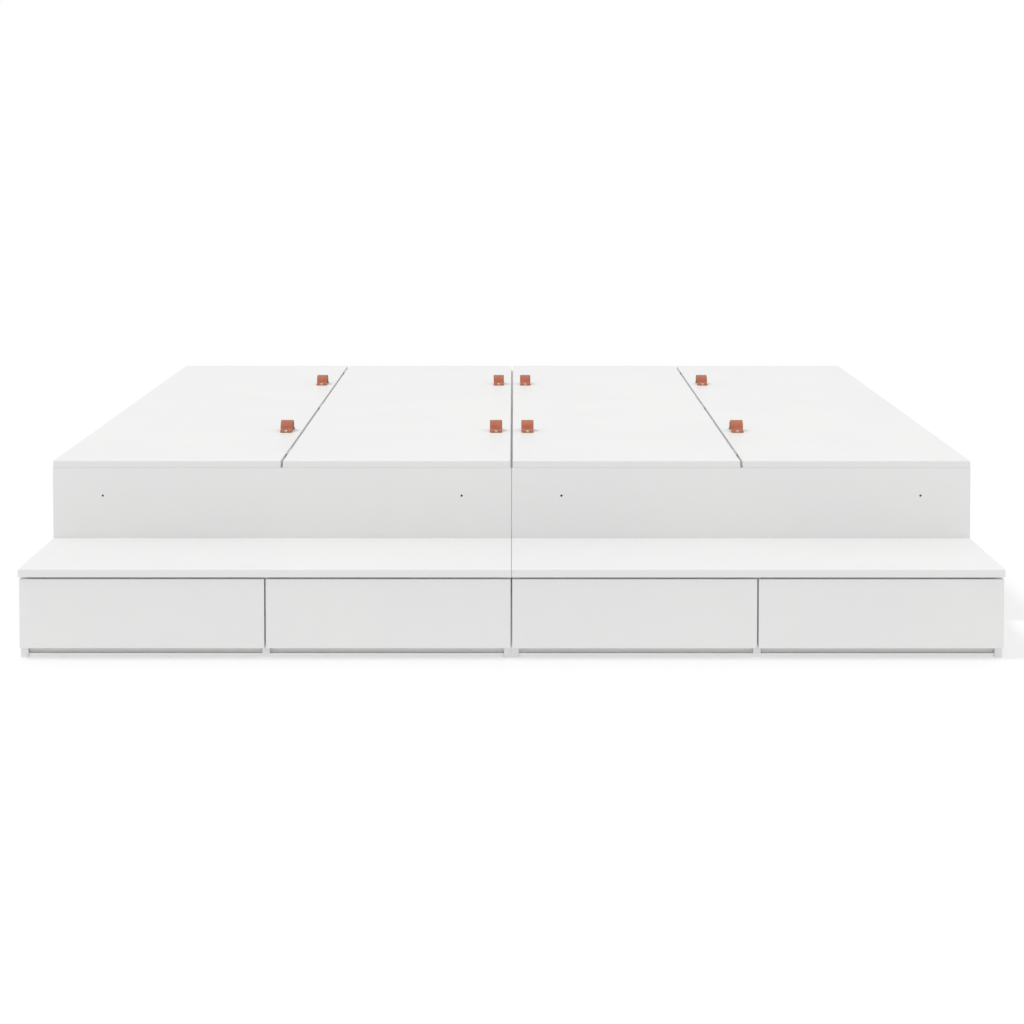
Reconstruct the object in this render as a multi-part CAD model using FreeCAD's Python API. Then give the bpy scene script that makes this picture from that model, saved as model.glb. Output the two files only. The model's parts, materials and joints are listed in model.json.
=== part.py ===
import FreeCAD, Part
import os

from FreeCAD import Vector

# Platform bed: a chest with four hinged lids behind a low step with four drawers.
# Millimetres. +Z is up, the front faces -Y, and the origin lies on the floor under the middle.
# The bed is two mirrored halves. Each piece is made for the left half (-X) and mirrored.

# Overall sizes
bed_width = 2000.0
chest_depth = 2000.0
chest_height = 354.0
step_depth = 356.0
step_height = 185.0

# Boards
board = 15.0               # thickness of every panel except the next ones
tread = 16.0               # step top
floor_board = 8.0          # chest floors and step bases
hardboard = 4.0            # drawer bottoms
edge_round = 1.0           # rounding of the banded edges of lids, step tops and drawer fronts
panel_round = 0.6          # rounding of the edges of the other panels
half_seam = 0.3            # gap between each half and the middle plane
groove_depth = 5.0         # grooves that hold the chest floors and the drawer bottoms
groove_slack = 0.2         # gap between a board's edge and the end of its groove
floor_lift = 24.0          # underside of the chest floors above the floor

# Lids
lid_inset = 0.5            # the outer lids stop this far inside the chest's sides
lid_gap = 5.0              # gap between neighbouring lids

# Pull straps
strap_width = 30.0
strap_thick = 3.0
strap_foot = 12.0          # flat length of each foot
strap_half_base = 30.5     # from the middle of the arch to where a foot ends
strap_bend = 12.0          # middle radius of the bend at a foot
strap_sweep = 72.8         # degrees that this bend turns through
strap_inset = 35.0         # from the lid's free edge to the middle of the strap
strap_places = (500.0, 1500.0)   # from the lid's front edge to the middle of each strap
strap_screw_inset = 5.5    # from the end of a foot to its screw

# Lid hinges
hinge_length = 75.0
hinge_places = (150.0, 1000.0, 1850.0)   # from the chest's front to the middle of each hinge
knuckle_count = 5
knuckle_gap = 0.4
knuckle_slack = 0.6        # between a leaf's plate and the other leaf's knuckles
leaf_thick = 1.2
pin_radius = 1.0
pin_head_radius = 1.6
pin_head = 0.8
pin_play = 0.05            # between the pin and the moving knuckles
outer_knuckle = 2.4        # outer radius of the knuckles outside the chest's sides
outer_pivot_out = 2.6      # from the chest's side out to the outer lids' hinge line
outer_leaf_drop = 26.0     # reach of the fixed leaf down the side
outer_leaf_rise = 13.0     # reach of the moving leaf up the lid's edge
inner_knuckle = 2.1        # outer radius of the knuckles in the gap between lids
inner_pivot_drop = 2.2     # from the lids' top down to the inner lids' hinge line
inner_leaf_lift = 0.8      # lower edge of the inner lid's leaf above the divider
inner_foot = 13.0          # width of the fixed leaf's foot on the divider

# Screws, cam locks and joining bolts
wood_screw_radius = 1.5
wood_screw_head = 2.6
wood_screw_sink = 1.4
wood_screw_length = 12.0
edge_screw_length = 18.0
strap_screw_radius = 1.75
strap_screw_length = 14.0
strap_screw_head = 3.6
strap_screw_dome = 2.2
strap_screw_round = 1.32   # rounding of the head's rim
socket_corner = 1.4        # from the middle of the head's hexagonal socket to its corners
socket_depth = 1.3
cam_radius = 7.5
cam_depth = 12.5
cam_setback = 34.0         # from the end of the board to the cam's middle
step_cam_setback = 51.0    # the same along the step's panels
cam_slot = (9.0, 1.6, 1.2)       # length, width and depth of the screwdriver slot
cam_heights = (70.0, 270.0)
joint_bolt_radius = 3.0
joint_bolt_head = 6.5
joint_bolt_cap = 1.5
chest_bolt_places = (-720.0, 0.0, 720.0)   # from the middle of the chest's depth
step_bolt_shares = (0.3, 0.7)              # where the bolts lie along the step's depth

# Holes in the chest's front
front_hole_radius = 2.5
front_hole_inset = 108.5   # from each end of a half's front panel
front_hole_height = 278.0

# Step and drawers
front_overhang = 10.0      # the step top stands out in front of the drawer fronts
front_gap = 3.0            # between neighbouring drawer fronts
front_low = 22.0           # lower edge of a drawer front
front_high = 164.0         # upper edge of a drawer front
base_recess = 5.0          # a step base stands back from the front ends of the step's side panels
rail_recess = 7.0          # the rails on a step base stand back from its front edge
rail_high = 30.0           # upper edge of these rails
drawer_play = 1.5          # between a drawer's side and the step's panels
drawer_low = 36.0
drawer_high = 146.0
drawer_length = 318.0
drawer_bottom_lift = 8.0   # underside of the drawer bottom above the sides' lower edge
runner_low = 86.0
runner_high = 103.0
runner_reach = 8.0         # depth of a runner strip inside the drawer's groove
runner_groove = 9.0
runner_slack = 0.3
runner_length = 300.0
runner_setback = 8.0       # front of a runner strip behind the drawer's front board
runner_stop = 3.0          # front of the drawer's groove ahead of the strip
runner_round = 3.8         # rounding of the front end of a strip
runner_screw_shares = (0.1, 0.5, 0.9)      # where the screws lie along a strip

# Places that follow from the sizes above
half_width = bed_width / 2
front_y = -(chest_depth + step_depth) / 2
chest_front = front_y + step_depth
chest_back = chest_front + chest_depth
lid_low = chest_height - board
lid_width = (half_width - lid_inset - 1.5 * lid_gap) / 2
outer_lid_x = (-half_width + lid_inset, -half_width + lid_inset + lid_width)
inner_lid_x = (-lid_gap / 2 - lid_width, -lid_gap / 2)
seam_x = (outer_lid_x[1] + inner_lid_x[0]) / 2
side_x = (-half_width, -half_width + board)
middle_x = (-half_seam - board, -half_seam)
chest_divider_x = (seam_x - board / 2, seam_x + board / 2)
chest_inside = (chest_front + board, chest_back - board)
chest_bays = {"outer": (side_x[1], chest_divider_x[0]), "inner": (chest_divider_x[1], middle_x[0])}
hinge_middles = [chest_front + place for place in hinge_places]
outer_pivot = (-half_width - outer_pivot_out, lid_low)
inner_pivot = (seam_x, chest_height - inner_pivot_drop)

step_low = step_height - tread
drawer_front_y = front_y + front_overhang
step_front = drawer_front_y + board
step_bay = (middle_x[0] - side_x[1] - board) / 2
step_divider_x = (side_x[1] + step_bay, side_x[1] + step_bay + board)
step_bays = {"outer": (side_x[1], step_divider_x[0]), "inner": (step_divider_x[1], middle_x[0])}
front_width = (half_width - lid_inset - 1.5 * front_gap) / 2
front_spans = {
    "outer": (-half_width + lid_inset, -half_width + lid_inset + front_width),
    "inner": (-front_gap / 2 - front_width, -front_gap / 2),
}
drawer_back_y = step_front + drawer_length

along_x = Vector(1, 0, 0)
along_y = Vector(0, 1, 0)
along_z = Vector(0, 0, 1)
nodes = {}


def slab(xs, ys, zs, rounding=0.0):
    corner = Vector(xs[0], ys[0], zs[0])
    solid = Part.makeBox(xs[1] - xs[0], ys[1] - ys[0], zs[1] - zs[0], corner)
    if rounding > 0:
        solid = solid.makeFillet(rounding, solid.Edges)
    return solid


def around(middle, length):
    return (middle - length / 2, middle + length / 2)


def round_bar(radius, start, direction, length):
    return Part.makeCylinder(radius, length, start, direction)


def mirrored(shape):
    return shape.mirror(Vector(0, 0, 0), along_x)


def group(solids):
    return Part.makeCompound(solids)


def drilled(solid, tools):
    return solid.cut(tools) if tools else solid


def both_halves(name, shape):
    nodes[name + "_left"] = shape
    nodes[name + "_right"] = mirrored(shape)


# Fasteners

def countersunk_screw(head, direction, length):
    """A screw whose flat head lies at the point head and whose shank runs along direction."""
    shank = round_bar(wood_screw_radius, head, direction, length)
    cone = Part.makeCone(wood_screw_head, wood_screw_radius, wood_screw_sink, head, direction)
    return shank.fuse(cone).removeSplitter()


def hexagonal_bar(start, corner, length):
    turns = [FreeCAD.Rotation(along_z, 60 * n) for n in range(7)]
    outline = Part.makePolygon([start + turn.multVec(along_x * corner) for turn in turns])
    return Part.Face(outline).extrude(along_z * length)


def dome_screw(seat):
    """A vertical screw with a domed head that sits on the point seat, and a socket in its top."""
    head = round_bar(strap_screw_head, seat, along_z, strap_screw_dome)
    rim = [edge for edge in head.Edges if edge.BoundBox.ZMin > seat.z + strap_screw_dome / 2]
    head = head.makeFillet(strap_screw_round, rim)
    shank_end = seat - along_z * strap_screw_length
    shank = round_bar(strap_screw_radius, shank_end, along_z, strap_screw_length)
    socket_floor = seat + along_z * (strap_screw_dome - socket_depth)
    socket = hexagonal_bar(socket_floor, socket_corner, strap_screw_dome)
    return head.fuse(shank).removeSplitter().cut(socket)


def cam_hole(face, inward):
    return round_bar(cam_radius, face, inward, cam_depth)


def cam_lock(face, inward):
    """A cam disc flush with a board's face, with its screwdriver slot."""
    slot = Part.makeBox(2 * cam_slot[2], cam_slot[0], cam_slot[1],
                        face - Vector(cam_slot[2], cam_slot[0] / 2, cam_slot[1] / 2))
    return cam_hole(face, inward).cut(slot)


def joining_bolt(y, z):
    """A bolt through both middle panels, with a flat cap on each face."""
    reach = half_seam + board
    bolt = round_bar(joint_bolt_radius, Vector(-reach, y, z), along_x, 2 * reach)
    for face, direction in ((-reach, -along_x), (reach, along_x)):
        bolt = bolt.fuse(round_bar(joint_bolt_head, Vector(face, y, z), direction, joint_bolt_cap))
    return bolt.removeSplitter()


# Lid hinges

def knuckle_spans(middle, moving):
    """Where along Y the knuckles of one leaf lie."""
    pitch = hinge_length / knuckle_count
    start = middle - hinge_length / 2
    first = 1 if moving else 0
    return [(start + n * pitch + knuckle_gap / 2, start + (n + 1) * pitch - knuckle_gap / 2)
            for n in range(first, knuckle_count, 2)]


def hinge_leaf(pivot, middle, radius, plate_x, plate_z, moving):
    """A leaf: a plate given by its offsets from the hinge line, with knuckles on that line."""
    px, pz = pivot
    xs = (px + plate_x[0], px + plate_x[1])
    leaf = slab(xs, around(middle, hinge_length), (pz + plate_z[0], pz + plate_z[1]))
    bore = pin_radius + pin_play if moving else pin_radius
    neck_z = sorted((pz, pz + (plate_z[1] if plate_z[1] < 0 else plate_z[0])))
    for span in knuckle_spans(middle, moving):
        ring = round_bar(radius, Vector(px, span[0], pz), along_y, span[1] - span[0])
        leaf = leaf.fuse([slab(xs, span, neck_z), ring])
    hole = round_bar(bore, Vector(px, middle - hinge_length, pz), along_y, 2 * hinge_length)
    return leaf.cut(hole).removeSplitter()


def hinge_pin(pivot, middle):
    start = Vector(pivot[0], middle - hinge_length / 2, pivot[1])
    end = Vector(pivot[0], middle + hinge_length / 2, pivot[1])
    pin = round_bar(pin_radius, start, along_y, hinge_length)
    heads = [round_bar(pin_head_radius, start, -along_y, pin_head),
             round_bar(pin_head_radius, end, along_y, pin_head)]
    return pin.fuse(heads).removeSplitter()


outer_clear = outer_knuckle + knuckle_slack
inner_clear = inner_knuckle + knuckle_slack
outer_plate_x = (outer_pivot_out - leaf_thick, outer_pivot_out)
outer_edge_x = (outer_pivot_out - leaf_thick, outer_pivot_out + lid_inset)
inner_plate_x = (lid_gap / 2 - leaf_thick, lid_gap / 2)
divider_drop = lid_low - inner_pivot[1]


def outer_fixed_leaf(middle):
    return hinge_leaf(outer_pivot, middle, outer_knuckle, outer_plate_x,
                      (-outer_leaf_drop, -outer_clear), False)


def outer_moving_leaf(middle):
    return hinge_leaf(outer_pivot, middle, outer_knuckle, outer_edge_x,
                      (outer_clear, outer_leaf_rise), True)


def inner_fixed_leaf(middle):
    web = hinge_leaf(inner_pivot, middle, inner_knuckle, (-leaf_thick / 2, leaf_thick / 2),
                     (divider_drop - leaf_thick, -inner_clear), False)
    foot = inner_foot_plate(middle)
    return web.fuse(foot).removeSplitter()


def inner_foot_plate(middle):
    return slab(around(seam_x, inner_foot), around(middle, hinge_length), (lid_low - leaf_thick, lid_low))


def inner_moving_leaf(middle):
    return hinge_leaf(inner_pivot, middle, inner_knuckle, inner_plate_x,
                      (divider_drop + inner_leaf_lift, -inner_clear), True)


def screw_rows(middle):
    """Three places along a hinge leaf."""
    reach = hinge_length / 2 - hinge_length / (2 * knuckle_count)
    return [middle - reach, middle, middle + reach]


def outer_fixed_screws(middle):
    x = outer_pivot[0] + outer_plate_x[0]
    z = outer_pivot[1] - (outer_leaf_drop + outer_clear) / 2
    return [countersunk_screw(Vector(x, y, z), along_x, wood_screw_length) for y in screw_rows(middle)]


def outer_edge_screws(middle):
    x = outer_pivot[0] + outer_edge_x[0]
    z = outer_pivot[1] + (outer_leaf_rise + outer_clear) / 2
    return [countersunk_screw(Vector(x, y, z), along_x, edge_screw_length) for y in screw_rows(middle)]


def inner_fixed_screws(middle):
    offset = (inner_foot + leaf_thick) / 4
    ends = screw_rows(middle)
    places = [(seam_x - offset, ends[0]), (seam_x + offset, ends[1]), (seam_x - offset, ends[2])]
    return [countersunk_screw(Vector(x, y, lid_low), -along_z, wood_screw_length) for x, y in places]


def inner_edge_screws(middle):
    x = inner_pivot[0] + inner_plate_x[0]
    z = inner_pivot[1] + (divider_drop + inner_leaf_lift - inner_clear) / 2
    return [countersunk_screw(Vector(x, y, z), along_x, edge_screw_length) for y in screw_rows(middle)]


def for_each_hinge(make):
    """What make gives for the three hinges of a lid, in one list."""
    made = []
    for middle in hinge_middles:
        result = make(middle)
        made.extend(result if isinstance(result, list) else [result])
    return made


# Pull straps

def turned(point, centre, degrees):
    """A point of the YZ plane turned about a centre."""
    turn = FreeCAD.Rotation(along_x, degrees)
    return centre + turn.multVec(point - centre)


def strap_side(offset):
    """Edges of the strap's outline, foot to foot, at a distance outside its middle line."""
    foot_end = strap_half_base + strap_foot
    level = strap_thick / 2
    bend_centre = Vector(0, -strap_half_base, level + strap_bend)
    bend_start = Vector(0, -strap_half_base, level + offset)
    bend_end = turned(bend_start, bend_centre, strap_sweep)
    bend_half = turned(bend_start, bend_centre, strap_sweep / 2)
    middle_end = turned(Vector(0, -strap_half_base, level), bend_centre, strap_sweep)
    out = (middle_end - bend_centre).normalize()
    arch_centre = middle_end + out * (-middle_end.y / out.y)
    arch_top = arch_centre + along_z * (arch_centre.distanceToPoint(bend_end))
    near = [Vector(0, -foot_end, level + offset), bend_start, bend_half, bend_end]
    far = [Vector(p.x, -p.y, p.z) for p in near]
    return [
        Part.LineSegment(near[0], near[1]).toShape(),
        Part.Arc(near[1], near[2], near[3]).toShape(),
        Part.Arc(near[3], arch_top, far[3]).toShape(),
        Part.Arc(far[3], far[2], far[1]).toShape(),
        Part.LineSegment(far[1], far[0]).toShape(),
    ]


def strap(x, y, screws):
    """A leather strap bent up into an arch between two flat feet, on top of a lid."""
    low = strap_side(-strap_thick / 2)
    high = strap_side(strap_thick / 2)
    ends = [Part.LineSegment(low[n].Vertexes[m].Point, high[n].Vertexes[m].Point).toShape()
            for n, m in ((0, 0), (-1, -1))]
    outline = Part.Wire(Part.__sortEdges__(low + high + ends))
    ribbon = Part.Face(outline).extrude(along_x * strap_width)
    ribbon.translate(Vector(x - strap_width / 2, y, chest_height))
    return drilled(ribbon, screws)


def strap_screws(x, y):
    reach = strap_half_base + strap_foot - strap_screw_inset
    return [dome_screw(Vector(x, y + side * reach, chest_height + strap_thick)) for side in (-1, 1)]


# Chest panels

def floor_groove(xs, ys):
    return slab(xs, ys, (floor_lift, floor_lift + floor_board))


def chest_cams(face_x, inward, make):
    ends = (chest_inside[0] + cam_setback, chest_inside[1] - cam_setback)
    return [make(Vector(face_x, y, z), inward) for y in ends for z in cam_heights]


def front_holes():
    places = (side_x[0] + front_hole_inset, middle_x[1] - front_hole_inset)
    starts = [Vector(x, chest_front - board, front_hole_height) for x in places]
    return [round_bar(front_hole_radius, start, along_y, 3 * board) for start in starts]


floor_span = (side_x[1] - groove_depth, middle_x[0] + groove_depth)


def chest_front_panel():
    xs = (side_x[0], middle_x[1])
    ys = (chest_front, chest_inside[0])
    panel = slab(xs, ys, (0, lid_low), panel_round)
    return drilled(panel, [floor_groove(floor_span, (ys[1] - groove_depth, ys[1]))] + front_holes())


def chest_back_panel():
    panel = slab((side_x[0], middle_x[1]), (chest_inside[1], chest_back), (0, lid_low), panel_round)
    return panel.cut(floor_groove(floor_span, (chest_inside[1], chest_inside[1] + groove_depth)))


def chest_side_panel():
    panel = slab(side_x, chest_inside, (0, lid_low))
    tools = [floor_groove((side_x[1] - groove_depth, side_x[1]), chest_inside)]
    tools += chest_cams(side_x[1], -along_x, cam_hole)
    return drilled(panel, tools + for_each_hinge(outer_fixed_screws))


def chest_middle_panel():
    panel = slab(middle_x, chest_inside, (0, lid_low))
    tools = [floor_groove((middle_x[0], middle_x[0] + groove_depth), chest_inside)]
    tools += chest_cams(middle_x[0], along_x, cam_hole)
    return drilled(panel, tools + chest_bolts())


def chest_divider():
    panel = slab(chest_divider_x, chest_inside, (0, lid_low))
    tools = [floor_groove((chest_divider_x[0], chest_divider_x[0] + groove_depth), chest_inside),
             floor_groove((chest_divider_x[1] - groove_depth, chest_divider_x[1]), chest_inside)]
    tools += chest_cams(chest_divider_x[0], along_x, cam_hole)
    tools += for_each_hinge(inner_foot_plate)
    return drilled(panel, tools + for_each_hinge(inner_fixed_screws))


def chest_floors():
    reach = groove_depth - groove_slack
    ys = (chest_inside[0] - reach, chest_inside[1] + reach)
    zs = (floor_lift, floor_lift + floor_board)
    return group([slab((bay[0] - reach, bay[1] + reach), ys, zs) for bay in chest_bays.values()])


def chest_bolts():
    middle = (chest_front + chest_back) / 2
    return [joining_bolt(middle + place, lid_low / 2) for place in chest_bolt_places]


# Step panels

def step_bolts():
    height = (drawer_high + step_low) / 2
    return [joining_bolt(step_front + step_depth * share, height) for share in step_bolt_shares]


def step_cams(face_x, inward, make):
    ends = (step_front + step_cam_setback, chest_front - step_cam_setback)
    return [make(Vector(face_x, y, step_low - cam_setback), inward) for y in ends]


def runner_strip(face_x, inward, screws):
    """A plastic strip on a step panel that carries one side of a drawer."""
    depth = drawer_play + runner_reach
    xs = sorted((face_x, face_x + inward * depth))
    start = step_front + runner_setback
    strip = slab(xs, (start, start + runner_length), (runner_low, runner_high))
    upright = [edge for edge in strip.Edges if edge.BoundBox.ZLength > runner_round]
    nose = [edge for edge in upright if edge.BoundBox.YMax < start + runner_round]
    return drilled(strip.makeFillet(runner_round, nose), screws)


def runner_screws(face_x, inward):
    head = face_x + inward * (drawer_play + runner_reach)
    length = drawer_play + runner_reach + wood_screw_length
    start = step_front + runner_setback
    height = (runner_low + runner_high) / 2
    seats = [Vector(head, start + runner_length * share, height) for share in runner_screw_shares]
    return [countersunk_screw(seat, along_x * -inward, length) for seat in seats]


def step_panel(xs, low, faces):
    """An upright panel of the step; faces are the sides of it that carry a runner strip."""
    panel = slab(xs, (step_front, chest_front), (low, step_low))
    tools = []
    for inward in faces:
        face_x = xs[1] if inward > 0 else xs[0]
        tools += runner_screws(face_x, inward)
    return panel, tools


def step_side_panel():
    panel, tools = step_panel(side_x, 0, [1])
    return drilled(panel, tools + step_cams(side_x[1], -along_x, cam_hole))


def step_middle_panel():
    panel, tools = step_panel(middle_x, 0, [-1])
    return drilled(panel, tools + step_cams(middle_x[0], along_x, cam_hole) + step_bolts())


def step_divider():
    panel, tools = step_panel(step_divider_x, floor_board, [-1, 1])
    return drilled(panel, tools + step_cams(step_divider_x[0], along_x, cam_hole))


def step_base():
    """The board on the floor between the side and middle panels; the divider stands on it."""
    ys = (step_front + base_recess, chest_front)
    return slab((side_x[1], middle_x[0]), ys, (0, floor_board), panel_round)


def step_rail(bay):
    """The upright rail on the step base under a drawer, between two of the step's panels."""
    start = step_front + base_recess + rail_recess
    return slab(step_bays[bay], (start, start + board), (floor_board, rail_high), panel_round)


def step_top():
    return slab((side_x[0], middle_x[1]), (front_y, chest_front), (step_low, step_height), edge_round)


# Drawers

def drawer_box_x(bay):
    xs = step_bays[bay]
    return (xs[0] + drawer_play, xs[1] - drawer_play)


def bottom_groove(xs, ys):
    low = drawer_low + drawer_bottom_lift
    return slab(xs, ys, (low, low + hardboard))


def drawer_front(bay):
    panel = slab(front_spans[bay], (drawer_front_y, step_front), (front_low, front_high), edge_round)
    xs = drawer_box_x(bay)
    reach = (xs[0] + board - groove_depth, xs[1] - board + groove_depth)
    return panel.cut(bottom_groove(reach, (step_front - groove_depth, step_front)))


def drawer_sides(bay):
    xs = drawer_box_x(bay)
    ys = (step_front, drawer_back_y)
    zs = (drawer_low, drawer_high)
    runner_ys = (step_front + runner_setback - runner_stop, drawer_back_y)
    runner_zs = (runner_low - runner_slack, runner_high + runner_slack)
    left = slab((xs[0], xs[0] + board), ys, zs)
    right = slab((xs[1] - board, xs[1]), ys, zs)
    left = left.cut([slab((xs[0], xs[0] + runner_groove), runner_ys, runner_zs),
                     bottom_groove((xs[0] + board - groove_depth, xs[0] + board), ys)])
    right = right.cut([slab((xs[1] - runner_groove, xs[1]), runner_ys, runner_zs),
                       bottom_groove((xs[1] - board, xs[1] - board + groove_depth), ys)])
    return group([left, right])


def drawer_back(bay):
    xs = drawer_box_x(bay)
    inside = (xs[0] + board, xs[1] - board)
    panel = slab(inside, (drawer_back_y - board, drawer_back_y), (drawer_low, drawer_high))
    return panel.cut(bottom_groove(inside, (drawer_back_y - board, drawer_back_y - board + groove_depth)))


def drawer_bottom(bay):
    xs = drawer_box_x(bay)
    reach = groove_depth - groove_slack
    low = drawer_low + drawer_bottom_lift
    return slab((xs[0] + board - reach, xs[1] - board + reach),
                (step_front - reach, drawer_back_y - board + reach), (low, low + hardboard))


# The left half and its mirror

both_halves("chest_front", chest_front_panel())
both_halves("chest_back", chest_back_panel())
both_halves("chest_side", chest_side_panel())
both_halves("chest_middle", chest_middle_panel())
both_halves("chest_divider", chest_divider())
both_halves("chest_floor", chest_floors())
both_halves("step_top", step_top())
both_halves("step_side", step_side_panel())
both_halves("step_middle", step_middle_panel())
both_halves("step_divider", step_divider())
both_halves("step_base", step_base())

for bay in ("outer", "inner"):
    both_halves("drawer_" + bay + "_front", drawer_front(bay))
    both_halves("drawer_" + bay + "_sides", drawer_sides(bay))
    both_halves("drawer_" + bay + "_back", drawer_back(bay))
    both_halves("drawer_" + bay + "_bottom", drawer_bottom(bay))

lid_parts = {
    "outer": (outer_lid_x, outer_moving_leaf, outer_edge_screws),
    "inner": (inner_lid_x, inner_moving_leaf, inner_edge_screws),
}
for bay, (lid_x, moving_leaf, edge_screws) in lid_parts.items():
    strap_x = lid_x[1] - strap_inset
    strap_ys = [chest_front + place for place in strap_places]
    top_screws = [screw for y in strap_ys for screw in strap_screws(strap_x, y)]
    side_screws = for_each_hinge(edge_screws)
    lid = slab(lid_x, (chest_front, chest_back), (lid_low, chest_height), edge_round)
    leaves = [drilled(leaf, side_screws) for leaf in for_each_hinge(moving_leaf)]
    both_halves("lid_" + bay, drilled(lid, top_screws + side_screws))
    both_halves("straps_" + bay, group([strap(strap_x, y, top_screws) for y in strap_ys]))
    both_halves("lid_screws_" + bay, group(top_screws + side_screws))
    both_halves("hinge_leaves_" + bay, group(leaves))

# Hardware that the two halves share one node for

outer_screws = for_each_hinge(outer_fixed_screws)
inner_screws = for_each_hinge(inner_fixed_screws)
fixed_leaves = [drilled(leaf, outer_screws) for leaf in for_each_hinge(outer_fixed_leaf)]
fixed_leaves += [drilled(leaf, inner_screws) for leaf in for_each_hinge(inner_fixed_leaf)]
pins = [hinge_pin(pivot, middle) for pivot in (outer_pivot, inner_pivot) for middle in hinge_middles]

strips = []
strip_screws = []
for bay_x in step_bays.values():
    for face_x, inward in ((bay_x[0], 1), (bay_x[1], -1)):
        screws = runner_screws(face_x, inward)
        strips.append(runner_strip(face_x, inward, screws))
        strip_screws += screws

cams = chest_cams(side_x[1], -along_x, cam_lock) + chest_cams(middle_x[0], along_x, cam_lock)
cams += chest_cams(chest_divider_x[0], along_x, cam_lock) + step_cams(side_x[1], -along_x, cam_lock)
cams += step_cams(middle_x[0], along_x, cam_lock) + step_cams(step_divider_x[0], along_x, cam_lock)

shared = {
    "hinge_fixed_leaves": fixed_leaves,
    "hinge_pins": pins,
    "panel_screws": outer_screws + inner_screws + strip_screws,
    "runner_strips": strips,
    "cam_locks": cams,
    "step_rails": [step_rail(bay) for bay in step_bays],
}
middle_bolts = {"panel_screws": chest_bolts() + step_bolts()}
for name, solids in shared.items():
    pairs = solids + [mirrored(solid) for solid in solids]
    nodes[name] = group(pairs + middle_bolts.get(name, []))

os.makedirs("parts", exist_ok=True)
for name, shape in nodes.items():
    shape.exportStep("parts/" + name + ".step")
    box = shape.BoundBox
    print(name, len(shape.Solids), shape.isValid(), round(shape.Volume),
          [round(v, 1) for v in (box.XMin, box.XMax, box.YMin, box.YMax, box.ZMin, box.ZMax)])
print(len(nodes), "nodes")
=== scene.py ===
import json
import math
import random

import bmesh
import bpy
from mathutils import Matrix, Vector, noise


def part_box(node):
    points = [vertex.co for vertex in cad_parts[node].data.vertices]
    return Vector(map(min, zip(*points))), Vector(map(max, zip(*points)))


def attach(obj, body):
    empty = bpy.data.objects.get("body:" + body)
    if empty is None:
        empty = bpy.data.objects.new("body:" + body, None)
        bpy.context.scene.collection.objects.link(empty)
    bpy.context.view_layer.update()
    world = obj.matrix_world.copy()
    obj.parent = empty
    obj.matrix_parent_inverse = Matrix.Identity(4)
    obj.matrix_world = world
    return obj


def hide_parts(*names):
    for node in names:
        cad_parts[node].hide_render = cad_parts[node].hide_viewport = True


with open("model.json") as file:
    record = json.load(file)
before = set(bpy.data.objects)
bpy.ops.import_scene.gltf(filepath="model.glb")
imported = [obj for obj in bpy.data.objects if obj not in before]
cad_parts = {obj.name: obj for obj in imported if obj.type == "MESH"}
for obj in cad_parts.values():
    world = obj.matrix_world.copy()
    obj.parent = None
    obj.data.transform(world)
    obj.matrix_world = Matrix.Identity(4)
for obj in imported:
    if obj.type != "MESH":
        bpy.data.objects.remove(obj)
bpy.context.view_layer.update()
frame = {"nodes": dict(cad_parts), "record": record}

scene = bpy.context.scene
nodes = frame["nodes"]
sides = ("left", "right")
bays = ("outer", "inner")


# Camera and stage
cameraSet = {
    "place": (0.0042, -5.7012, 1.0711),
    "tiltDown": 0.0416,      # radians below level
    "turn": 0.0009,
    "lens": 79.14,           # mm on a 36 mm frame
    "shiftX": 0.0005,
    "shiftY": -0.28,
    "farClip": 200.0,
}
stageSet = {
    "floorReach": 60.0,
    "floorWhite": 0.45,
    "floorRough": 0.8,
    "floorGlow": 0.49,       # keeps the floor near white without deep shadows
    "skyLight": 0.725,       # light that the white room gives at eye level
    "ceilingLight": 0.205,   # how much more comes from straight above
    "sunPower": 0.90,
    "sunSpread": 9.0,        # degrees, wide for a soft edge
    "sunSlope": 64.0,        # degrees above the floor, from the left
    "sunTurn": 8.0,          # degrees towards the front
}


def addCamera():
    data = bpy.data.cameras.new("camera")
    data.lens = cameraSet["lens"]
    data.shift_x = cameraSet["shiftX"]
    data.shift_y = cameraSet["shiftY"]
    data.clip_end = cameraSet["farClip"]
    camera = bpy.data.objects.new("camera", data)
    camera.location = cameraSet["place"]
    camera.rotation_euler = (math.pi / 2 - cameraSet["tiltDown"], 0, cameraSet["turn"])
    scene.collection.objects.link(camera)
    scene.camera = camera


def addSun():
    data = bpy.data.lights.new("window", "SUN")
    data.energy = stageSet["sunPower"]
    data.angle = math.radians(stageSet["sunSpread"])
    lamp = bpy.data.objects.new("window", data)
    slope = math.radians(stageSet["sunSlope"])
    turn = math.radians(stageSet["sunTurn"])
    level = math.cos(slope)
    toLight = Vector((-level * math.cos(turn), -level * math.sin(turn), math.sin(slope)))
    lamp.rotation_euler = toLight.to_track_quat("Z", "Y").to_euler()
    scene.collection.objects.link(lamp)


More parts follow.
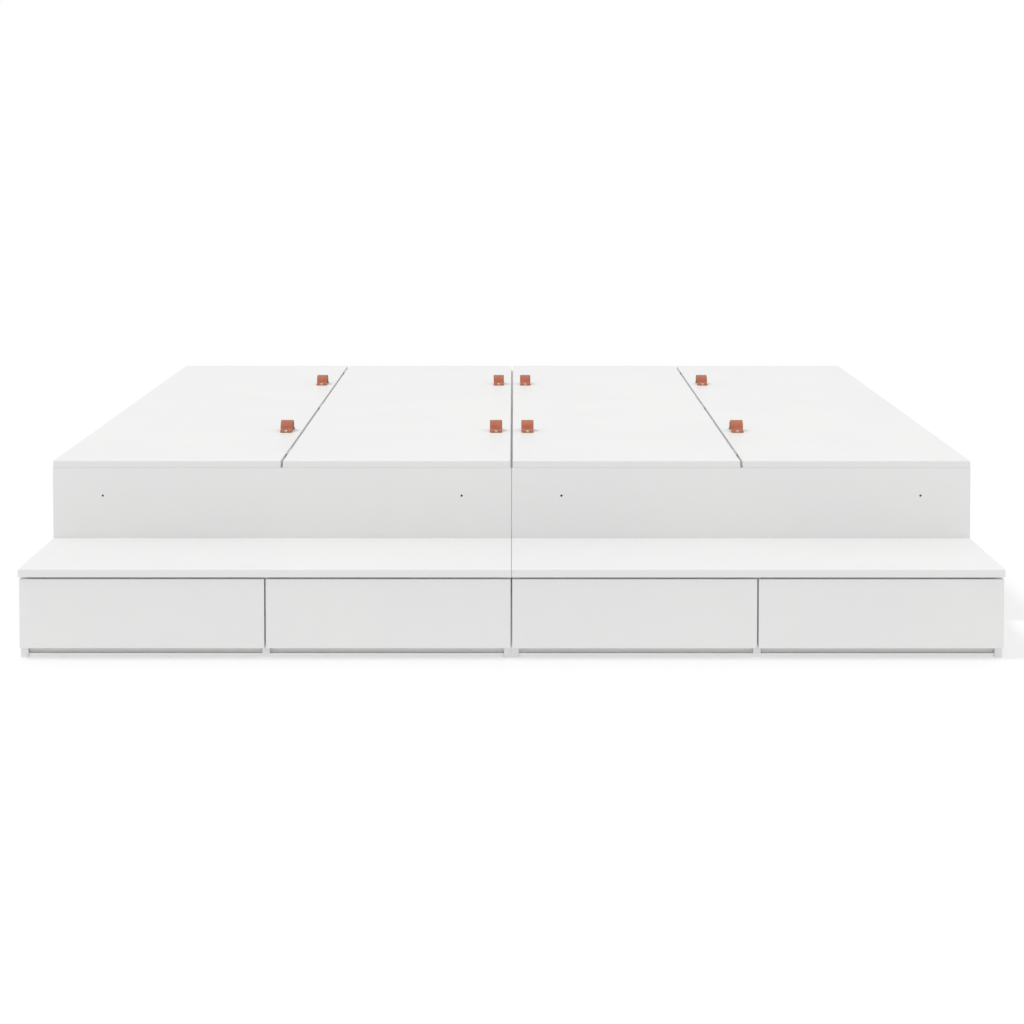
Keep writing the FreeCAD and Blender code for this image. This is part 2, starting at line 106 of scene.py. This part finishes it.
def addRoom():
    world = bpy.data.worlds.new("whiteRoom")
    scene.world = world
    world.use_nodes = True
    tree = world.node_tree
    tree.nodes.clear()
    output = tree.nodes.new("ShaderNodeOutputWorld")
    light = tree.nodes.new("ShaderNodeBackground")
    direction = addNode(tree, "SeparateXYZ")
    plug(tree, addNode(tree, "TexCoord").outputs["Generated"], direction.inputs[0])
    height = maths(tree, "MAXIMUM", direction.outputs[2], 0.0)
    glow = maths(tree, "MULTIPLY_ADD", height, stageSet["ceilingLight"], stageSet["skyLight"])
    plug(tree, glow, light.inputs["Strength"])
    backdrop = tree.nodes.new("ShaderNodeBackground")
    path = tree.nodes.new("ShaderNodeLightPath")
    mix = tree.nodes.new("ShaderNodeMixShader")
    tree.links.new(path.outputs["Is Camera Ray"], mix.inputs[0])
    tree.links.new(light.outputs[0], mix.inputs[1])
    tree.links.new(backdrop.outputs[0], mix.inputs[2])
    tree.links.new(mix.outputs[0], output.inputs["Surface"])
    for background in (light, backdrop):
        background.inputs["Color"].default_value = (1, 1, 1, 1)


def addFloor():
    reach = stageSet["floorReach"]
    mesh = bpy.data.meshes.new("floor")
    corners = [(-reach, -reach, 0), (reach, -reach, 0), (reach, reach, 0), (-reach, reach, 0)]
    mesh.from_pydata(corners, [], [(0, 1, 2, 3)])
    floor = bpy.data.objects.new("floor", mesh)
    scene.collection.objects.link(floor)
    material, _, shader = newMaterial("paleFloor")
    white = stageSet["floorWhite"]
    shader.inputs["Base Color"].default_value = (white, white, white, 1)
    shader.inputs["Roughness"].default_value = stageSet["floorRough"]
    shader.inputs["Emission Color"].default_value = (1, 1, 1, 1)
    shader.inputs["Emission Strength"].default_value = stageSet["floorGlow"]
    mesh.materials.append(material)


# Node helpers
def newMaterial(name):
    material = bpy.data.materials.new(name)
    material.use_nodes = True
    tree = material.node_tree
    shader = tree.nodes["Principled BSDF"]
    return material, tree, shader


def addNode(tree, kind, **settings):
    node = tree.nodes.new("ShaderNode" + kind)
    for key, value in settings.items():
        setattr(node, key, value)
    return node


def plug(tree, source, target):
    if isinstance(source, (int, float)):
        target.default_value = source
    elif isinstance(source, tuple):
        whole = len(source) == len(target.default_value)
        target.default_value = source if whole else (*source, 1.0)   # a colour without its alpha
    else:
        tree.links.new(source, target)


def maths(tree, operation, a, b=None, c=None):
    node = addNode(tree, "Math", operation=operation)
    for value, socket in zip((a, b, c), node.inputs):
        if value is not None:
            plug(tree, value, socket)
    return node.outputs[0]


def vectorMaths(tree, operation, a, b):
    node = addNode(tree, "VectorMath", operation=operation)
    plug(tree, a, node.inputs[0])
    plug(tree, b, node.inputs[1])
    return node.outputs[0]


def spread(tree, value, low, high, toLow=0.0, toHigh=1.0):
    node = addNode(tree, "MapRange", clamp=True, interpolation_type="SMOOTHSTEP")
    plug(tree, value, node.inputs["Value"])
    limits = {"From Min": low, "From Max": high, "To Min": toLow, "To Max": toHigh}
    for key, number in limits.items():
        node.inputs[key].default_value = number
    return node.outputs[0]


def blendColours(tree, share, first, second):
    node = addNode(tree, "Mix", data_type="RGBA")
    plug(tree, share, node.inputs["Factor"])
    plug(tree, first, node.inputs[6])
    plug(tree, second, node.inputs[7])
    return node.outputs[2]


def noiseAt(tree, place, scale, detail=2.0, rough=0.5):
    node = addNode(tree, "TexNoise")
    plug(tree, place, node.inputs["Vector"])
    node.inputs["Scale"].default_value = scale
    node.inputs["Detail"].default_value = detail
    node.inputs["Roughness"].default_value = rough
    return node.outputs["Fac"]


def cellEdge(tree, place, scale):
    node = addNode(tree, "TexVoronoi", feature="DISTANCE_TO_EDGE")
    plug(tree, place, node.inputs["Vector"])
    node.inputs["Scale"].default_value = scale
    return node.outputs["Distance"]


def bump(tree, height, distance, strength):
    node = addNode(tree, "Bump")
    node.inputs["Strength"].default_value = strength
    node.inputs["Distance"].default_value = distance
    plug(tree, height, node.inputs["Height"])
    return node.outputs[0]


# Faced board
boardLook = {
    "white": (0.838, 0.838, 0.832),
    "whiteDeep": (0.820, 0.822, 0.818),
    "band": (0.808, 0.811, 0.810),
    "bandBase": (0.930, 0.930, 0.925),   # makes up for the shade under the drawers, not a real finish
    "glueLine": (0.60, 0.60, 0.58),
    "flake": (0.72, 0.72, 0.71),
    "flakeShare": 0.10,
    "bandThick": 0.001,       # edge band, metres
    "glueWide": 0.00024,
    "glueShare": 0.8,
    "faceRough": 0.40,
    "bandRough": 0.33,
    "mottle": 3.5,            # noise scales, per metre
    "rub": 11.0,
    "orangePeel": 160.0,
    "pearl": 1300.0,
    "pearlDeep": 0.00004,
}


def boardBorder(tree, coords, faceAxis, size):
    # how far a point is from the nearest edge of its board, in metres
    fromLow = vectorMaths(tree, "MULTIPLY", coords.outputs["Generated"], tuple(size))
    fromHigh = vectorMaths(tree, "SUBTRACT", tuple(size), fromLow)
    nearest = addNode(tree, "SeparateXYZ")
    plug(tree, vectorMaths(tree, "MINIMUM", fromLow, fromHigh), nearest.inputs[0])
    inPlane = [nearest.outputs[n] for n in range(3) if n != faceAxis]
    return maths(tree, "MINIMUM", inPlane[0], inPlane[1])


def wideFace(tree, coords, faceAxis):
    # 1 on the wide faces of a board and 0 on its edges
    facing = addNode(tree, "SeparateXYZ")
    plug(tree, coords.outputs["Normal"], facing.inputs[0])
    return spread(tree, maths(tree, "ABSOLUTE", facing.outputs[faceAxis]), 0.5, 0.75)


def boardMaterial(name, faceAxis, size, band):
    look = boardLook
    material, tree, shader = newMaterial(name)
    coords = addNode(tree, "TexCoord")
    place = coords.outputs["Object"]
    border = boardBorder(tree, coords, faceAxis, size)
    wide = wideFace(tree, coords, faceAxis)

    mottle = noiseAt(tree, place, look["mottle"], 4.0, 0.55)
    pearl = noiseAt(tree, place, look["pearl"], 2.0)
    peel = noiseAt(tree, place, look["orangePeel"], 3.0)
    face = blendColours(tree, spread(tree, mottle, 0.3, 0.7), look["white"], look["whiteDeep"])
    flakes = spread(tree, pearl, 0.60, 0.78, 0.0, look["flakeShare"])
    face = blendColours(tree, flakes, face, look["flake"])
    colour = blendColours(tree, wide, band, face)

    # the fine line where the edge band meets the face
    offset = maths(tree, "ABSOLUTE", maths(tree, "SUBTRACT", border, look["bandThick"]))
    line = spread(tree, offset, 0.0, look["glueWide"], 1.0, 0.0)
    line = maths(tree, "MULTIPLY", line, wide)
    glue = maths(tree, "MULTIPLY", line, look["glueShare"])
    plug(tree, blendColours(tree, glue, colour, look["glueLine"]), shader.inputs["Base Color"])

    rub = noiseAt(tree, place, look["rub"], 5.0, 0.6)
    faceRough = spread(tree, rub, 0.25, 0.75, look["faceRough"] - 0.04, look["faceRough"] + 0.06)
    rough = addNode(tree, "Mix")
    plug(tree, wide, rough.inputs[0])
    plug(tree, look["bandRough"], rough.inputs[2])
    plug(tree, faceRough, rough.inputs[3])
    plug(tree, rough.outputs[0], shader.inputs["Roughness"])

    texture = maths(tree, "MULTIPLY_ADD", peel, 0.6, pearl)
    relief = maths(tree, "SUBTRACT", texture, maths(tree, "MULTIPLY", line, 1.5))
    plug(tree, bump(tree, relief, look["pearlDeep"], 0.6), shader.inputs["Normal"])
    return material


# Leather
leatherLook = {
    "grain": (0.525, 0.164, 0.085),
    "grainDeep": (0.40, 0.103, 0.050),
    "grainPale": (0.60, 0.230, 0.128),
    "cutEdge": (0.35, 0.148, 0.070),
    "flesh": (0.52, 0.34, 0.20),
    "fleshDeep": (0.40, 0.25, 0.14),
    "pebbles": 950.0,         # cells per metre
    "creases": 240.0,
    "cloud": 70.0,            # noise scales, per metre
    "wobble": 300.0,
    "fleck": 1500.0,
    "wobbleReach": 0.0006,
    "bendPaleAndPaintedLight": 0.22,      # how much the bent leather pales; partly real stretch, partly painted light that brightens the steep bends, which face the light less
    "grainDeepness": 0.00016,
    "rough": 0.52,
}


def leatherMaterial():
    look = leatherLook
    material, tree, shader = newMaterial("cognacLeather")
    place = addNode(tree, "TexCoord").outputs["Object"]
    wobble = noiseAt(tree, place, look["wobble"], 2.0)
    wobbled = vectorMaths(tree, "MULTIPLY", wobble, (look["wobbleReach"],) * 3)
    shifted = vectorMaths(tree, "ADD", place, wobbled)
    pebble = spread(tree, cellEdge(tree, shifted, look["pebbles"]), 0.0, 0.28)
    creased = spread(tree, cellEdge(tree, shifted, look["creases"]), 0.0, 0.10)
    cloud = noiseAt(tree, place, look["cloud"], 4.0, 0.6)
    fleck = noiseAt(tree, place, look["fleck"], 2.0)

    colour = blendColours(tree, spread(tree, cloud, 0.30, 0.72), look["grainDeep"], look["grain"])
    flecks = spread(tree, fleck, 0.55, 0.80, 0.0, 0.35)
    colour = blendColours(tree, flecks, colour, look["grainPale"])
    furrows = spread(tree, pebble, 0.0, 1.0, 0.35, 0.0)
    colour = blendColours(tree, furrows, colour, look["grainDeep"])
    # the bent leather is paler: partly real stretch, partly painted light on the steep bends that the
    # light reaches less
    stretchAndPaintedLight = addNode(tree, "Attribute", attribute_name="stretchAndPaintedLight").outputs["Fac"]
    paledByStretchAndPaintedLight = maths(tree, "MULTIPLY", stretchAndPaintedLight, look["bendPaleAndPaintedLight"])
    colour = blendColours(tree, paledByStretchAndPaintedLight, colour, look["grainPale"])
    cut = addNode(tree, "Attribute", attribute_name="cutEdge").outputs["Fac"]
    colour = blendColours(tree, cut, colour, look["cutEdge"])
    inner = addNode(tree, "Attribute", attribute_name="fleshSide").outputs["Fac"]
    flesh = blendColours(tree, fleck, look["flesh"], look["fleshDeep"])
    colour = blendColours(tree, inner, colour, flesh)
    plug(tree, colour, shader.inputs["Base Color"])

    rough = spread(tree, cloud, 0.2, 0.8, look["rough"] - 0.07, look["rough"] + 0.08)
    rough = maths(tree, "ADD", rough, maths(tree, "MULTIPLY", inner, 0.3))
    plug(tree, rough, shader.inputs["Roughness"])
    relief = maths(tree, "MULTIPLY_ADD", creased, 0.5, pebble)
    relief = maths(tree, "MULTIPLY_ADD", fleck, 0.3, relief)
    plug(tree, bump(tree, relief, look["grainDeepness"], 0.7), shader.inputs["Normal"])
    return material


# Metal, plastic and hardboard
metalLooks = {
    "hinge_steel": {
        "colour": (0.74, 0.74, 0.75),
        "dark": (0.58, 0.58, 0.60),
        "rough": 0.40,
        "brush": 900.0,       # fine scratches, per metre
    },
    "pin_steel": {
        "colour": (0.80, 0.80, 0.81),
        "dark": (0.66, 0.66, 0.68),
        "rough": 0.26,
        "brush": 1400.0,
    },
    "screw_steel": {
        "colour": (0.95, 0.92, 0.88),
        "dark": (0.84, 0.81, 0.77),
        "rough": 0.34,
        "brush": 1200.0,
    },
    "cam_zinc": {
        "colour": (0.66, 0.66, 0.67),
        "dark": (0.50, 0.50, 0.52),
        "rough": 0.48,
        "brush": 600.0,
    },
}
metalSurface = {
    "brushStretch": (1.0, 0.06, 1.0),
    "bloom": 90.0,            # dull patches, per metre
    "scratchDeep": 0.00002,
}
runnerLook = {
    "colour": (0.78, 0.78, 0.75),
    "dark": (0.72, 0.72, 0.69),
    "flow": 120.0,            # noise scales, per metre
    "flowStretch": (1.0, 0.1, 1.0),
    "spark": 2200.0,
    "sparkDeep": 0.00003,
}
hardboardLook = {
    "raw": (0.36, 0.22, 0.12),
    "rawDeep": (0.24, 0.14, 0.075),
    "coat": (0.83, 0.83, 0.81),
    "coatWorn": (0.74, 0.73, 0.70),
    "fibre": 700.0,           # per metre
    "fibreStretch": (1.0, 0.35, 1.0),
    "fibreDeep": 0.00005,
}


def metalMaterial(slot):
    look = metalLooks[slot]
    material, tree, shader = newMaterial(slot)
    place = addNode(tree, "TexCoord").outputs["Object"]
    alongBrush = vectorMaths(tree, "MULTIPLY", place, metalSurface["brushStretch"])
    brush = noiseAt(tree, alongBrush, look["brush"], 3.0, 0.6)
    bloom = noiseAt(tree, place, metalSurface["bloom"], 4.0, 0.6)
    colour = blendColours(tree, spread(tree, bloom, 0.3, 0.75), look["colour"], look["dark"])
    plug(tree, colour, shader.inputs["Base Color"])
    shader.inputs["Metallic"].default_value = 1.0
    rough = spread(tree, brush, 0.2, 0.8, look["rough"] - 0.07, look["rough"] + 0.09)
    plug(tree, rough, shader.inputs["Roughness"])
    plug(tree, bump(tree, brush, metalSurface["scratchDeep"], 0.5), shader.inputs["Normal"])
    return material


def runnerMaterial():
    look = runnerLook
    material, tree, shader = newMaterial("mouldedRunner")
    place = addNode(tree, "TexCoord").outputs["Object"]
    alongFlow = vectorMaths(tree, "MULTIPLY", place, look["flowStretch"])
    flow = noiseAt(tree, alongFlow, look["flow"], 3.0)
    spark = noiseAt(tree, place, look["spark"], 1.0)
    colour = blendColours(tree, flow, look["colour"], look["dark"])
    plug(tree, colour, shader.inputs["Base Color"])
    plug(tree, spread(tree, spark, 0.3, 0.7, 0.42, 0.56), shader.inputs["Roughness"])
    plug(tree, bump(tree, spark, look["sparkDeep"], 0.5), shader.inputs["Normal"])
    return material


def hardboardMaterial():
    look = hardboardLook
    material, tree, shader = newMaterial("paintedHardboard")
    coords = addNode(tree, "TexCoord")
    place = coords.outputs["Object"]
    facing = addNode(tree, "SeparateXYZ")
    plug(tree, coords.outputs["Normal"], facing.inputs[0])
    above = spread(tree, facing.outputs[2], 0.4, 0.7)
    alongFibre = vectorMaths(tree, "MULTIPLY", place, look["fibreStretch"])
    fibre = noiseAt(tree, alongFibre, look["fibre"], 4.0, 0.65)
    raw = blendColours(tree, fibre, look["raw"], look["rawDeep"])
    worn = spread(tree, fibre, 0.4, 0.8, 0.0, 0.3)
    coat = blendColours(tree, worn, look["coat"], look["coatWorn"])
    plug(tree, blendColours(tree, above, raw, coat), shader.inputs["Base Color"])
    plug(tree, spread(tree, fibre, 0.2, 0.8, 0.5, 0.65), shader.inputs["Roughness"])
    plug(tree, bump(tree, fibre, look["fibreDeep"], 0.6), shader.inputs["Normal"])
    return material


def paint(names, material):
    for name in names:
        mesh = nodes[name].data
        mesh.materials.clear()
        mesh.materials.append(material)


def nodeSize(name):
    low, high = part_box(name)
    return high - low


# The boards whose faces look along each axis; boards of one size share a material
boardFamilies = {
    "lid": (2, ["lid_outer", "lid_inner"]),
    "stepTop": (2, ["step_top"]),
    "stepBase": (2, ["step_base"]),
    "chestFloor": (2, ["chest_floor"]),
    "chestFront": (1, ["chest_front", "chest_back"]),
    "drawerFront": (1, ["drawer_outer_front", "drawer_inner_front"]),
    "drawerBack": (1, ["drawer_outer_back", "drawer_inner_back"]),
    "chestUpright": (0, ["chest_side", "chest_middle", "chest_divider"]),
    "stepRail": (1, ["step_rails"]),
    "stepUpright": (0, ["step_side", "step_middle", "step_divider"]),
    "drawerSide": (0, ["drawer_outer_sides", "drawer_inner_sides"]),
}


def paintBoards():
    for family, (axis, names) in boardFamilies.items():
        members = [name for stem in names for name in sorted(nodes) if name.startswith(stem)]
        band = boardLook["bandBase"] if family == "stepBase" else boardLook["band"]
        paint(members, boardMaterial(family + "Board", axis, nodeSize(members[0]), band))


def paintHardware():
    metals = {slot: metalMaterial(slot) for slot in metalLooks}
    slots = {part["node"]: part["material_slot"] for part in frame["record"]["subparts"]}
    for slot, material in metals.items():
        paint([name for name, used in slots.items() if used == slot], material)
    paint([name for name, used in slots.items() if used == "runner_plastic"], runnerMaterial())
    paint([name for name, used in slots.items() if used == "hardboard"], hardboardMaterial())


# Pull straps: leather bent into an arch between two feet that are screwed down, in metres
strapCraft = {
    "length": 0.085,          # footprint, foot end to foot end
    "foot": 0.012,
    "bend": 0.0120,           # middle radius where a foot turns up
    "sweep": 72.8,            # degrees of that turn
    "thick": 0.0030,
    "cornerRound": 0.0090,    # plan radius of the feet's corners
    "edgeRound": 0.0011,
    "dimple": 0.0004,         # how far the screw presses the leather in
    "dimpleWide": 0.0048,
    "screwInset": 0.0055,
    "waist": 0.0006,          # how far the sides pull in at the bends
    "lean": 0.9,              # degrees, each strap a little different
    "ripple": 90.0,           # unevenness of the grain side, per metre
    "rippleDeep": 0.00022,
    "rowsPerMetre": 2600.0,
    "fewestRows": 6,          # along a foot or a bend
    "fadeRows": 14,           # rows over which the look of a bend fades
    "columns": 16,
    "edgeSteps": 6,
    "firstSeed": 11,
}


def stepsAlong(run):
    return max(strapCraft["fewestRows"], round(run * strapCraft["rowsPerMetre"]))


def alongArc(y, z, heading, size, turn):
    return (y + size * (math.sin(heading + turn) - math.sin(heading)),
            z - size * (math.cos(heading + turn) - math.cos(heading)))


def strapLine(craft):
    # points of the middle line in the YZ plane, with the direction and how bent the leather is
    halfBase = craft["length"] / 2 - craft["foot"]
    bend = craft["bend"]
    sweep = math.radians(craft["sweep"])
    crown = (halfBase - bend * math.sin(sweep)) / math.sin(sweep)
    y, z, heading = -craft["length"] / 2, craft["thick"] / 2, 0.0
    line = []
    steps = stepsAlong(craft["foot"])
    for step in range(steps):
        line.append((y + craft["foot"] * step / steps, z, 0.0, 0.0))
    y += craft["foot"]
    for size, angle in ((bend, sweep), (-crown, -sweep)):
        steps = stepsAlong(size * angle)
        for step in range(steps):
            turn = angle * step / steps
            line.append((*alongArc(y, z, heading, size, turn), heading + turn, bend / abs(size)))
        y, z = alongArc(y, z, heading, size, angle)
        heading += angle
    top = (0.0, z, 0.0, bend / crown)
    line = line + [top] + [(-y, z, -angle, bent) for y, z, angle, bent in reversed(line)]

    # the leather's stretch, which also drives painted light on the bends, fades in and out along the
    # strap
    reach = craft["fadeRows"]
    bends = [point[3] for point in line]
    faded = []
    for n, (y, z, angle, bent) in enumerate(line):
        nearby = bends[max(0, n - reach):n + reach + 1]
        faded.append((y, z, angle, sum(nearby) / len(nearby)))
    return faded


def strapSection(half, craft):
    # outline across the strap: (across, out, is it the cut edge, is it the flesh side)
    columns, edgeSteps = craft["columns"], craft["edgeSteps"]
    radius = craft["edgeRound"]
    rise = craft["thick"] / 2
    inner = half - radius
    outline = []
    for side, start, flesh in ((1, 90, 0.0), (-1, -90, 1.0)):
        for n in range(columns + 1):
            outline.append((side * (-inner + 2 * inner * n / columns), side * rise, 0.0, flesh))
        for n in range(1, edgeSteps):
            angle = math.radians(start - 180 * n / edgeSteps)
            across = side * inner + radius * math.cos(angle)
            outline.append((across, rise * math.sin(angle), 1.0, 0.0))
    return outline


def strapHalfWidth(craft, width, fromEnd, angle, bent):
    half = width / 2 - craft["waist"] * bent
    if angle == 0.0 and fromEnd < craft["cornerRound"]:
        missing = craft["cornerRound"] - fromEnd
        half -= craft["cornerRound"] - math.sqrt(max(0.0, craft["cornerRound"] ** 2 - missing ** 2))
    return half


def strapRing(mesh, layers, craft, row, width, origin, lean, seed):
    y, z, angle, bent = row
    fromEnd = craft["length"] / 2 - abs(y)
    half = strapHalfWidth(craft, width, fromEnd, angle, bent)
    normal = Vector((0, -math.sin(angle), math.cos(angle)))
    screwGap = abs(fromEnd - craft["screwInset"])
    ring = []
    for across, out, cut, flesh in strapSection(half, craft):
        point = Vector((across, y, z)) + normal * out
        if angle == 0.0 and out > 0:
            reach = math.hypot(across, screwGap)
            point.z -= craft["dimple"] * math.exp(-(reach / craft["dimpleWide"]) ** 2)
        if flesh == 0.0:
            ripple = noise.noise(Vector((across * craft["ripple"], y * craft["ripple"], seed)))
            point += normal * ripple * craft["rippleDeep"]
        point.x += point.z * math.tan(lean)
        vert = mesh.verts.new(origin + point)
        # the third value is the bend, which pales the leather as real stretch and as painted light
        for layer, value in zip(layers, (cut, flesh, bent if out > 0 else 0.0)):
            vert[layer] = value
        ring.append(vert)
    return ring


def makeStrap(name, origin, width, seed):
    craft = strapCraft
    lean = math.radians(random.Random(seed).uniform(-craft["lean"], craft["lean"]))
    mesh = bmesh.new()
    layers = [mesh.verts.layers.float.new(key) for key in ("cutEdge", "fleshSide", "stretchAndPaintedLight")]
    rings = []
    for row in strapLine(craft):
        rings.append(strapRing(mesh, layers, craft, row, width, origin, lean, seed))
    count = len(rings[0])
    for ring, following in zip(rings, rings[1:]):
        for n in range(count):
            onward = (n + 1) % count
            mesh.faces.new((ring[n], ring[onward], following[onward], following[n]))
    mesh.faces.new(list(reversed(rings[0])))
    mesh.faces.new(rings[-1])
    bmesh.ops.recalc_face_normals(mesh, faces=mesh.faces)
    data = bpy.data.meshes.new(name)
    mesh.to_mesh(data)
    mesh.free()
    for polygon in data.polygons:
        polygon.use_smooth = True
    strap = bpy.data.objects.new(name, data)
    scene.collection.objects.link(strap)
    return strap


def addStraps():
    leather = leatherMaterial()
    seed = strapCraft["firstSeed"]
    half = strapCraft["length"] / 2
    for side in sides:
        for bay in bays:
            node = "straps_" + bay + "_" + side
            low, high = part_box(node)
            for place, middleY in (("front", low.y + half), ("rear", high.y - half)):
                name = "leather_strap_" + bay + "_" + side + "_" + place
                origin = Vector(((low.x + high.x) / 2, middleY, low.z))
                strap = makeStrap(name, origin, high.x - low.x, seed)
                strap.data.materials.append(leather)
                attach(strap, "lid_" + bay + "_" + side)
                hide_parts(node)
                seed += 1


print("camera and light")
scene.view_settings.view_transform = "Standard"
addCamera()
addSun()
addRoom()
addFloor()
print("board, metal and plastic finishes")
paintBoards()
paintHardware()
print("leather pull straps")
addStraps()
